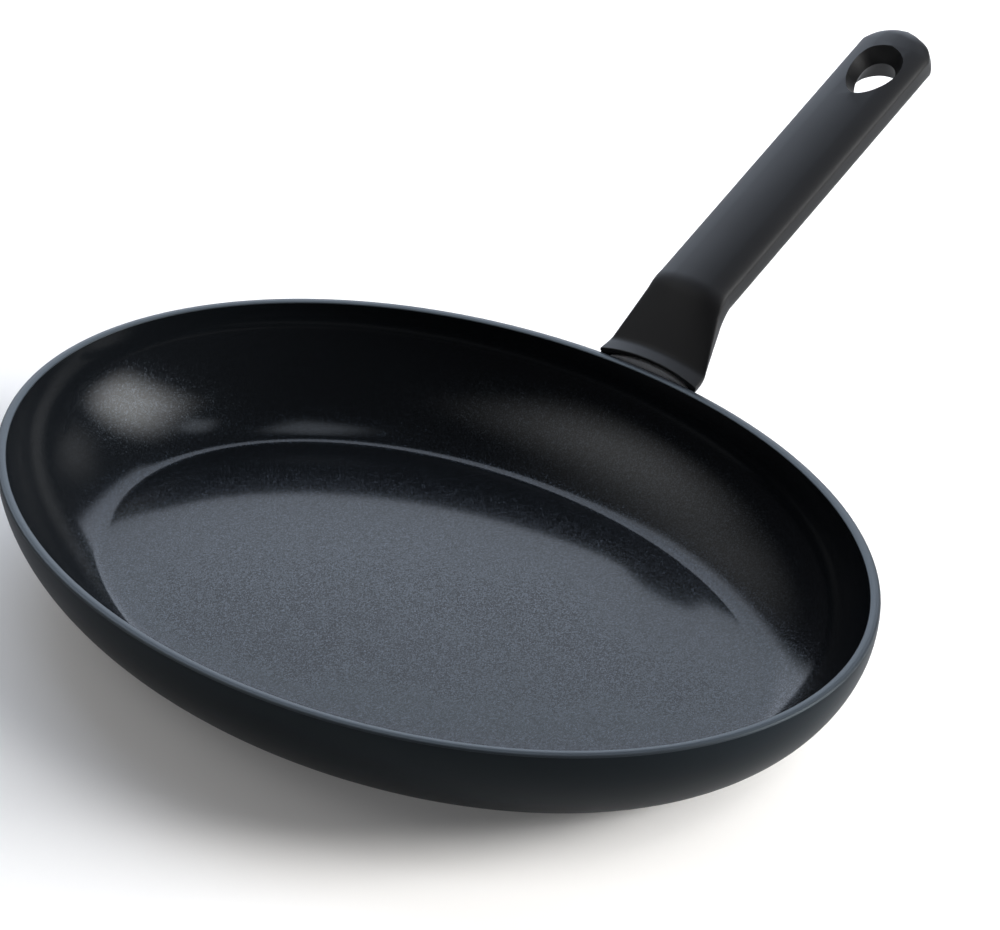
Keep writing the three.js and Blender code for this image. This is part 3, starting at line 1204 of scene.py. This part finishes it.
@dataclass
class Handle:
    """The moulded handle, with its socket, its hang hole and the recess for the screw."""

    form: HandleForm
    recess: float = 0.0087
    lip_round: float = 0.0004
    band_blend: float = 0.0016
    hole_from_end: float = 0.0261
    hole_taper: float = 0.25
    top_egg: tuple[float, float] = (0.0272, 0.0204)
    parting_egg: tuple[float, float] = (0.0214, 0.0136)
    parting_depth: float = 0.0068
    parting_shift: float = 0.001
    under_egg: tuple[float, float] = (0.0288, 0.0228)
    under_shift: float = 0.0041
    hole_round: float = 0.0005
    # The rounded edge of the hole: its rise over the face and its run outwards, in shares of hole_round.
    hole_edge: Sequence[tuple[float, float]] = (
        (-2.0, 0.0), (-1.0, 0.1), (-0.4, 0.35), (0.0, 0.8), (0.5, 1.8))
    hole_points: int = 96
    neck_steps: int = 14
    knee_steps: int = 14
    grip_steps: int = 12
    end_steps: int = 40
    blend_steps: int = 6
    smooth_angle: float = 32.0
    finish: Finish = MouldedPlastic()

    def _mouth_loops(self) -> list[list[Vector]]:
        """Loops from the end of the socket, over the rounded lip, to the collar's band and its blend.

        Returns:
            The loops, from the inside to the outside.
        """
        form = self.form
        root, mouth, band, tip = form.socket_sections()
        inner = form.meet_wall(root, mouth, form.root_gap)
        outer = form.meet_wall(form.root, form.band, form.root_gap)
        edge = form.band.outline(form.points)
        neck = form.along_neck(self.band_blend).outline(form.points)
        steps = [step / self.blend_steps for step in range(self.blend_steps + 1)]
        loops = [tip.outline(form.points), band.outline(form.points), inner]
        for share in steps:
            loops.append([self._lip_point(points, share) for points in zip(inner, outer, edge)])
        for share in steps:
            loops.append([self._band_point(points, share) for points in zip(outer, edge, neck)])
        return loops

    def _lip_point(self, points: Sequence[Vector], share: float) -> Vector:
        """A point on the rounded edge of the lip.

        Args:
            points: A point of the socket's mouth, of the lip's outer edge and of the band.
            share: How far round the edge, from the lip's face towards the wall to its outer side.

        Returns:
            The point.
        """
        inner, corner, edge = points
        start = corner + (inner - corner).normalized() * self.lip_round
        end = corner + (edge - corner).normalized() * self.lip_round
        return bezier([start, corner, end], share)

    def _band_point(self, points: Sequence[Vector], share: float) -> Vector:
        """A point on the tight blend between the collar's band and the neck.

        Args:
            points: A point of the lip's outer edge, of the band's upper edge and of the neck.
            share: How far along the blend, from the band to the neck.

        Returns:
            The point.
        """
        mouth, edge, neck = points
        start = edge + (mouth - edge).normalized() * self.band_blend
        return bezier([start, edge, neck], share)

    def _neck_sections(self) -> list[Section]:
        """Sections along the neck and through the bend into the grip.

        Returns:
            The sections, in order.
        """
        form = self.form
        bend = form.neck_length - form.knee_blend
        first = 2 * self.band_blend
        sections = []
        for step in range(self.neck_steps):
            sections.append(form.along_neck(first + (bend - first) * step / self.neck_steps))
        before = form.along_neck(bend)
        after = form.along_grip(form.knee_blend)
        for step in range(self.knee_steps + 1):
            share = step / self.knee_steps
            top = bezier([before.top, form.knee.top, after.top], share)
            under = bezier([before.under, form.knee.under, after.under], share)
            sections.append(replace(before.mixed(after, share), top=top, under=under))
        return sections

    def _grip_sections(self) -> list[Section]:
        """Sections along the grip and round its end, on an arc in plan with rounded edges.

        Returns:
            The sections, in order.
        """
        form = self.form
        half = form.grip_width / 2
        radius = (half ** 2 + form.end_bulge ** 2) / (2 * form.end_bulge)
        widest = math.atan2(half, radius - form.end_bulge)
        straight = form.grip_length - form.end_bulge - form.knee_blend
        sections = []
        for step in range(1, self.grip_steps):
            sections.append(form.along_grip(form.knee_blend + straight * step / self.grip_steps))
        for step in range(self.end_steps):
            turn = widest * (1 - step / self.end_steps)
            from_end = radius * (1 - math.cos(turn))
            rounding = [edge - math.sqrt(edge ** 2 - max(0.0, edge - from_end) ** 2)
                        for edge in (form.end_top_edge, form.end_under_edge)]
            side = half - radius * math.sin(turn)
            sections.append(form.along_grip(form.grip_length - from_end).shrunk(side, *rounding))
        return sections

    def _egg(self, size: tuple[float, float], grow: float, z: float, shift: float) -> list[Vector]:
        """An egg-shaped loop of the hang hole, its big end towards the end of the grip.

        Args:
            size: Its length and its width.
            grow: How far it is grown all round.
            z: Its height over the grip's top line.
            shift: How far it is shifted towards the bowl.

        Returns:
            The loop, in the frame of the hole.
        """
        length, width = size
        loop = []
        for step in range(self.hole_points):
            turn = 2 * math.pi * (step + 0.5) / self.hole_points
            across = (width / 2 + grow) * math.sin(turn) * (1 + self.hole_taper * math.cos(turn))
            loop.append(Vector((across, (length / 2 + grow) * math.cos(turn) - shift, z)))
        return loop

    def _hang_hole(self) -> bpy.types.Object:
        """The cutter of the hang hole, narrowest at the parting plane and rounded at both faces.

        Returns:
            The cutter, in its place.
        """
        form = self.form
        thick = form.grip_thickness
        size = self.hole_round
        model = RingModel("hang_hole_cutter", self.hole_points)
        for rise, run in reversed(self.hole_edge):
            model.loop(self._egg(self.under_egg, run * size, -thick - rise * size, self.under_shift))
        model.loop(self._egg(self.parting_egg, 0.0, -self.parting_depth, self.parting_shift))
        for rise, run in self.hole_edge:
            model.loop(self._egg(self.top_egg, run * size, rise * size, 0.0))
        cutter = model.close()
        top = form.along_grip(form.grip_length - self.hole_from_end).top
        turn = Matrix.Rotation(math.radians(form.grip_slope), 4, "X")
        place(cutter, Matrix.Translation((0.0, top.x, top.y)) @ turn)
        return cutter

    def build(self) -> bpy.types.Object:
        """Model the handle from its socket to its end, cut its holes and dress it.

        Returns:
            The handle.
        """
        form = self.form
        model = RingModel("moulded_handle", form.points)
        for loop in self._mouth_loops():
            model.loop(loop)
        for section in self._neck_sections() + self._grip_sections():
            model.loop(section.outline(form.points))
        piece = model.close()
        cut(piece, self._hang_hole())
        cut(piece, form.screw_bar(form.shank_hole, -form.under_wall - form.fit_gap, 0.0))
        cut(piece, form.screw_bar(self.recess, -form.seat_depth, form.grip_thickness))
        smooth(piece, self.smooth_angle)
        dress(piece, self.finish)
        return piece


@dataclass
class Lug:
    """The cast lug on the wall that carries the handle."""

    form: HandleForm
    steps: int = 6
    smooth_angle: float = 32.0
    finish: Finish = PlainMetal(name="cast_lug_metal", base=(0.7, 0.71, 0.73), roughness=0.65)

    def build(self) -> bpy.types.Object:
        """Model the lug from the wall to its tip, drill it and dress it.

        Returns:
            The lug.
        """
        form = self.form
        root, mouth, band, tip = form.lug_sections(form.lug_reach)
        model = RingModel("cast_lug", form.points)
        model.loop(form.meet_wall(root, mouth, form.weld_gap))
        for step in range(self.steps + 1):
            model.loop(band.mixed(tip, step / self.steps).outline(form.points))
        piece = model.close()
        cut(piece, form.screw_bar(form.shank_hole, -form.grip_thickness, 0.0))
        smooth(piece, self.smooth_angle)
        dress(piece, self.finish)
        return piece


@dataclass
class Fixing:
    """The screw with its cross recess and the split washer, on the seat of the handle's recess."""

    form: HandleForm
    seat_gap: float = 0.0001
    diameter: float = 0.004
    length: float = 0.0078
    pitch: float = 0.0007
    thread_depth: float = 0.00035
    thread_share: float = 0.8
    crest_share: float = 0.6
    head: float = 0.0075
    head_height: float = 0.002
    head_dish: float = 0.0005
    cross_width: float = 0.001
    cross_length: float = 0.0042
    cross_depth: float = 0.0011
    washer: float = 0.007
    washer_thickness: float = 0.0008
    washer_split: float = 0.0008
    points: int = 48
    head_steps: int = 4
    smooth_angle: float = 30.0
    steel: PlainMetal = PlainMetal(name="screw_steel", base=(0.55, 0.55, 0.56), roughness=0.32)

    def _frame(self) -> Matrix:
        """The frame of the seat."""
        return self.form.screw_frame() @ Matrix.Translation((0.0, 0.0, -self.form.seat_depth))

    def build_screw(self) -> bpy.types.Object:
        """Turn the screw, cut its cross and dress it.

        Returns:
            The screw.
        """
        under = self.washer_thickness + 2 * self.seat_gap
        top = under + self.head_height
        shank = self.diameter / 2
        root = shank - self.thread_depth
        model = RingModel("screw", self.points)
        low = under - self.length
        model.oval(root, root, low)
        turns = int(self.thread_share * self.length / self.pitch)
        for turn in range(turns):
            model.oval(shank, shank, low + (turn + self.crest_share) * self.pitch)
            model.oval(root, root, low + (turn + 1) * self.pitch)
        model.oval(shank, shank, low + (turns + self.crest_share) * self.pitch)
        model.oval(shank, shank, under)
        model.oval(self.head / 2, self.head / 2, under)
        for step in range(self.head_steps + 1):
            turn = math.pi / 2 * step / self.head_steps
            radius = self.head / 2 - self.head_dish * (1 - math.cos(turn))
            model.oval(radius, radius, top - self.head_dish * (1 - math.sin(turn)))
        piece = model.close()
        for turn in (0.0, math.pi / 2):
            cut(piece, self._slot(top, turn))
        smooth(piece, self.smooth_angle)
        place(piece, self._frame())
        dress(piece, self.steel)
        return piece

    def _slot(self, top: float, turn: float) -> bpy.types.Object:
        """One bar of the cross recess, turned about the screw's axis.

        Args:
            top: The height of the head's top.
            turn: The bar's turn, in radians.

        Returns:
            The bar, to be cut out.
        """
        deselect_all()
        bpy.ops.mesh.primitive_cube_add(size=1.0, location=(0.0, 0.0, top), rotation=(0.0, 0.0, turn))
        slot = bpy.context.object
        slot.scale = (self.cross_width, self.cross_length, 2 * self.cross_depth)
        apply_place()
        return slot

    def build_washer(self) -> bpy.types.Object:
        """Spin the split washer from its section and dress it.

        Returns:
            The washer.
        """
        inner = self.diameter / 2 + self.form.fit_gap
        outer = self.washer / 2
        middle = (inner + outer) / 2
        split = self.washer_split / middle
        deselect_all()
        bpy.ops.mesh.primitive_plane_add(size=1.0)
        piece = bpy.context.object
        piece.name = "split_washer"
        height = self.seat_gap + self.washer_thickness / 2
        piece.scale = (outer - inner, self.washer_thickness, 1.0)
        piece.rotation_euler = (math.pi / 2, 0.0, 0.0)
        piece.location = (middle, 0.0, height)
        apply_place()
        bpy.ops.object.mode_set(mode="EDIT")
        bpy.ops.mesh.select_all(action="SELECT")
        bpy.ops.mesh.spin(
            steps=self.points,
            angle=2 * math.pi - split,
            center=(0.0, 0.0, 0.0),
            axis=(0.0, 0.0, 1.0),
        )
        bpy.ops.mesh.select_all(action="SELECT")
        bpy.ops.mesh.normals_make_consistent(inside=False)
        bpy.ops.object.mode_set(mode="OBJECT")
        smooth(piece, self.smooth_angle)
        place(piece, self._frame() @ Matrix.Rotation(split / 2, 4, "Z"))
        dress(piece, replace(self.steel, name="washer_steel"))
        return piece


@dataclass(frozen=True)
class Softbox:
    """A soft lamp that faces the pan, placed by its angles and its distance as seen from there."""

    name: str
    azimuth: float
    elevation: float
    distance: float
    width: float
    height: float
    radiance: float
    soft: float
    tint: Colour = (1.0, 1.0, 1.0)
    in_gloss: bool = True

    def build(self, target: Vector) -> None:
        """Hang the lamp and turn it to a target.

        Args:
            target: The point that the lamp faces.
        """
        lamp = bpy.data.lights.new(self.name, "AREA")
        lamp.shape = "RECTANGLE"
        lamp.size = self.width
        lamp.size_y = self.height
        lamp.energy = math.pi * self.width * self.height * self.radiance
        lamp.color = self.tint
        lamp.use_nodes = True
        self._fill(Graph(lamp.node_tree))
        holder = bpy.data.objects.new(self.name, lamp)
        bpy.context.scene.collection.objects.link(holder)
        away = bearing(self.azimuth, self.elevation)
        facing = away.to_track_quat("Z", "Y").to_matrix().to_4x4()
        holder.matrix_world = Matrix.Translation(target + away * self.distance) @ facing
        holder.visible_camera = False
        holder.visible_glossy = self.in_gloss

    def _fill(self, graph: Graph) -> None:
        """Let the lamp fade towards its edges, over the soft share of each half.

        Args:
            graph: The nodes of the lamp.
        """
        spot = graph.node("ShaderNodeNewGeometry", {}, {}).outputs["Parametric"]
        strength: Number = 1.0
        for part in graph.parts(spot)[:2]:
            inward = 1.0 - graph.math("ABSOLUTE", part * 2.0 - 1.0, 0.0)
            strength = graph.fade(inward, 0.0, self.soft) * strength
        glow = graph.node("ShaderNodeEmission", {}, {"Strength": strength})
        graph.node("ShaderNodeOutputLight", {}, {"Surface": glow.outputs[0]})


@dataclass(frozen=True)
class Studio:
    """The camera, the pale floor, the room and the lamps."""

    azimuth: float = -50.7054
    elevation: float = 32.381
    roll: float = 0.6474
    distance: float = 1.7
    target: tuple[float, float, float] = (0.00903, 0.02987, 0.05742)
    lens: float = 166.89
    sensor: float = 36.0
    floor_size: float = 12.0
    floor_colour: Colour = (0.92, 0.9, 0.875)
    mirrored_floor: Colour = (0.5, 0.5, 0.5)
    floor_lift: float = 0.09
    floor_near: float = 0.45
    floor_far: float = 1.0
    horizon: Colour = (1.0, 1.0, 1.0)
    ceiling: Colour = (0.05, 0.05, 0.055)
    bright_to: float = 0.0
    dark_from: float = 4.0
    daylight: Colour = (0.88, 0.98, 1.15)
    cool_light: Colour = (0.88, 0.97, 1.1)

    def build_camera(self) -> None:
        """Set the camera at the photograph's viewing angle."""
        back = bearing(self.azimuth, self.elevation)
        level = bearing(self.azimuth + 90.0, 0.0)
        upright = back.cross(level)
        roll = math.radians(self.roll)
        right = level * math.cos(roll) + upright * math.sin(roll)
        up = upright * math.cos(roll) - level * math.sin(roll)
        data = bpy.data.cameras.new("camera")
        data.lens = self.lens
        data.sensor_width = self.sensor
        camera = bpy.data.objects.new("camera", data)
        bpy.context.scene.collection.objects.link(camera)
        turned = Matrix((right, up, back)).transposed().to_4x4()
        camera.matrix_world = Matrix.Translation(Vector(self.target) + back * self.distance) @ turned
        bpy.context.scene.camera = camera

    def build_floor(self) -> None:
        """Lay the floor, which can be seen through from below."""
        deselect_all()
        bpy.ops.mesh.primitive_plane_add(size=self.floor_size)
        floor = bpy.context.object
        floor.name = "floor"
        floor.data.materials.append(new_material("floor", self._fill_floor))

    def _fill_floor(self, graph: Graph) -> None:
        """Add a pale matte floor, lifted a little near the pan and to white far from it where it is seen.

        Args:
            graph: The nodes of the floor's material.
        """
        rays = graph.node("ShaderNodeLightPath", {}, {})
        seen = [Value(graph, rays.outputs[f"Is {kind} Ray"]) for kind in ("Camera", "Glossy", "Transmission")]
        along, across, _ = graph.parts(graph.place())
        far = graph.fade((along * along + across * across) ** 0.5, self.floor_near, self.floor_far)
        lift = graph.math("MINIMUM", seen[0] + seen[1] + seen[2], 1.0)
        lift = lift * (far * (1.0 - self.floor_lift) + self.floor_lift)
        colour = graph.mix(seen[1], self.floor_colour, self.mirrored_floor)
        matte = graph.node("ShaderNodeBsdfDiffuse", {}, {"Color": colour})
        glow = graph.node("ShaderNodeEmission", {}, {"Strength": lift})
        both = graph.node("ShaderNodeAddShader", {}, {0: matte.outputs[0], 1: glow.outputs[0]})
        clear = graph.node("ShaderNodeBsdfTransparent", {}, {})
        below = graph.node("ShaderNodeNewGeometry", {}, {}).outputs["Backfacing"]
        sided = graph.node("ShaderNodeMixShader", {}, {0: below, 1: both.outputs[0], 2: clear.outputs[0]})
        graph.node("ShaderNodeOutputMaterial", {}, {"Surface": sided.outputs[0]})

    def build_room(self) -> None:
        """A room with a white horizon and a dark ceiling, all white where the camera looks at it."""
        world = bpy.data.worlds.new("room")
        world.use_nodes = True
        bpy.context.scene.world = world
        graph = Graph(world.node_tree)
        direction = graph.node("ShaderNodeTexCoord", {}, {}).outputs["Generated"]
        height = graph.parts(direction)[2]
        low, high = (math.sin(math.radians(angle)) for angle in (self.bright_to, self.dark_from))
        colour = graph.mix(graph.fade(height, low, high), self.horizon, self.ceiling)
        seen = graph.node("ShaderNodeLightPath", {}, {}).outputs["Is Camera Ray"]
        colour = graph.mix(Value(graph, seen), colour, self.horizon)
        shade = graph.node("ShaderNodeBackground", {}, {"Color": colour, "Strength": 1.0})
        graph.node("ShaderNodeOutputWorld", {}, {"Surface": shade.outputs[0]})

    def build_lamps(self) -> None:
        """Hang the lamps: the window behind the pan, then those round it, those above it and a low one."""
        lamps = [
            Softbox(
                name="window", azimuth=133.0, elevation=34.0, distance=1.6, width=1.9, height=1.9,
                radiance=2.55, soft=0.25, tint=self.daylight),
            Softbox(
                name="strip", azimuth=32.0, elevation=38.5, distance=1.5, width=1.2, height=1.9,
                radiance=8.0, soft=0.9),
            Softbox(
                name="fill", azimuth=-135.0, elevation=40.0, distance=1.4, width=1.3, height=1.3,
                radiance=1.65, soft=1.0),
            Softbox(
                name="haze", azimuth=-170.0, elevation=42.0, distance=1.5, width=1.5, height=1.4,
                radiance=0.85, soft=1.0),
            Softbox(
                name="corner", azimuth=75.0, elevation=25.0, distance=1.5, width=1.0, height=0.9,
                radiance=0.75, soft=1.0),
            Softbox(
                name="spot", azimuth=-172.0, elevation=83.5, distance=1.5, width=0.45, height=0.45,
                radiance=1.9, soft=0.8, tint=self.cool_light),
            Softbox(
                name="glint", azimuth=40.0, elevation=72.0, distance=1.5, width=0.36, height=0.36,
                radiance=2.2, soft=0.8, tint=self.cool_light),
            Softbox(
                name="side", azimuth=34.0, elevation=15.0, distance=1.6, width=0.9, height=0.45,
                radiance=56.0, soft=0.5, in_gloss=False),
        ]
        for lamp in lamps:
            lamp.build(Vector(self.target))

    def build(self) -> None:
        """Set up the whole studio."""
        self.build_camera()
        self.build_floor()
        self.build_room()
        self.build_lamps()
        bpy.context.scene.view_settings.view_transform = "Standard"


def hand_over(piece: bpy.types.Object, node: str) -> None:
    """Put a piece in the place of its solid.

    Args:
        piece: The finished piece.
        node: The solid that it replaces.
    """
    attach(piece, BODY)
    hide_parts(node)
    LOG.info("%s: %d faces in the place of %s", piece.name, len(piece.data.polygons), node)


def main() -> None:
    """Build the pan piece by piece and set it in the studio."""
    logging.basicConfig(level=logging.INFO, format="%(name)s: %(message)s")
    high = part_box("pan_body")[1]
    bowl = Bowl(rim_half=Vector((high.x, high.y)), height=high.z)
    form = HandleForm(bowl)
    fixing = Fixing(form)
    hand_over(bowl.build(), "pan_body")
    hand_over(InductionPlate(bowl.plate_half, bowl.plate_thickness).build(), "induction_plate")
    hand_over(Handle(form).build(), "handle")
    hand_over(Lug(form).build(), "handle_lug")
    hand_over(fixing.build_screw(), "handle_screw")
    hand_over(fixing.build_washer(), "lock_washer")
    Studio().build()


if __name__ == "__main__":
    main()
